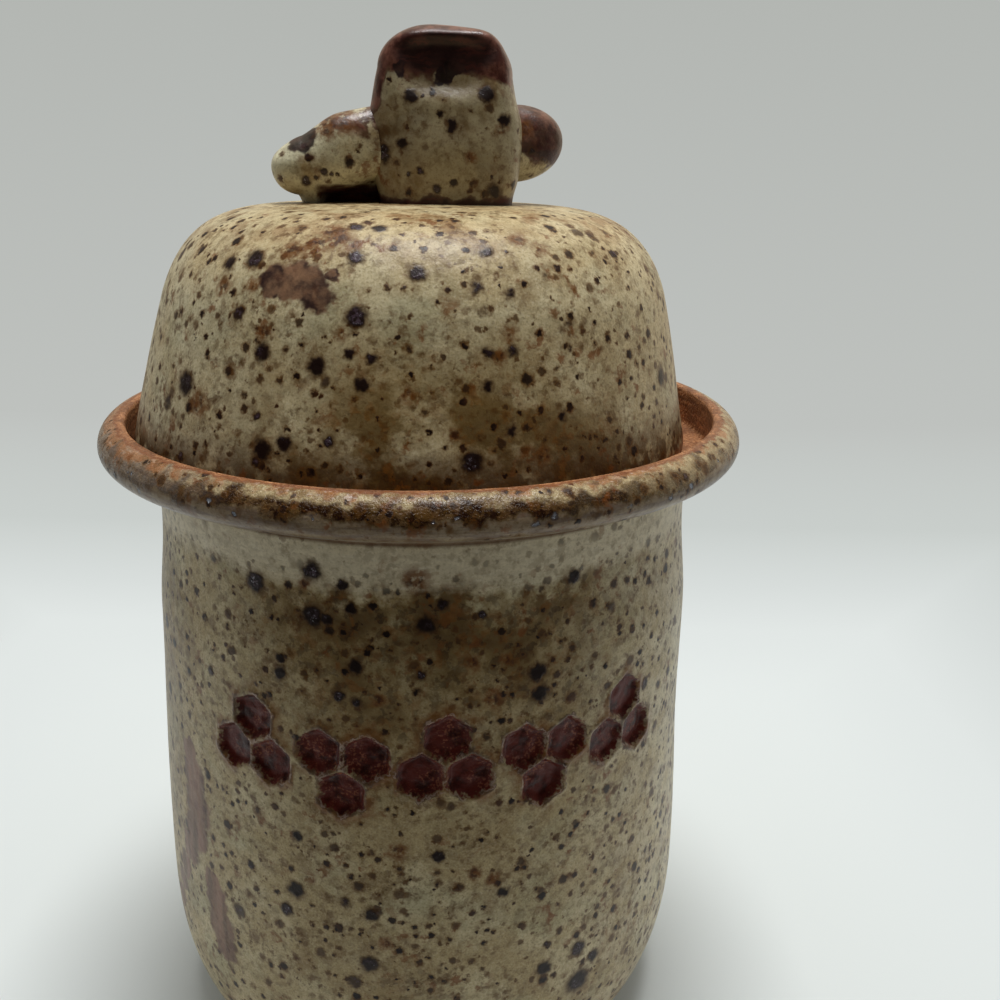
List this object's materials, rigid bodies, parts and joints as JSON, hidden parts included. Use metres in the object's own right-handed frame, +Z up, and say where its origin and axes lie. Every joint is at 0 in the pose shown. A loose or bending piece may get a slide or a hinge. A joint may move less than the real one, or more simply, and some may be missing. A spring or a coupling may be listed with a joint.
{
  "type": "honey pot",
  "caption": "Round stoneware jar with a flared, rolled lip, a domed lift-off lid seated inside it, and a hand-formed knob made of an upright tab between rounded lobes.",
  "frame": {"origin": "on the jar's axis, on the surface that the foot ring stands on", "axes": "+Z up along the jar's axis; the stamped front faces -Y; +X is to the right seen from the front"},
  "size_m": [0.1132, 0.1132, 0.1825],
  "materials": {
    "speckled_glaze": "semi-gloss oatmeal glaze over iron-speckled stoneware, bare toasted clay on the seat and the foot",
    "iron_glaze": "glossy glaze that breaks from cream to dark red-brown on the edges"
  },
  "bodies": {
    "jar": {"jar": "speckled_glaze"},
    "lid": {"lid": "speckled_glaze", "knob_tab": "iron_glaze", "knob_left_lobe": "iron_glaze", "knob_right_lobe": "iron_glaze"}
  },
  "joints": [
    {"name": "lid_lift", "type": "slide", "parent": "jar", "child": "lid", "axis": [0, 0, 1], "range_m": [0, 0.08]}
  ]
}
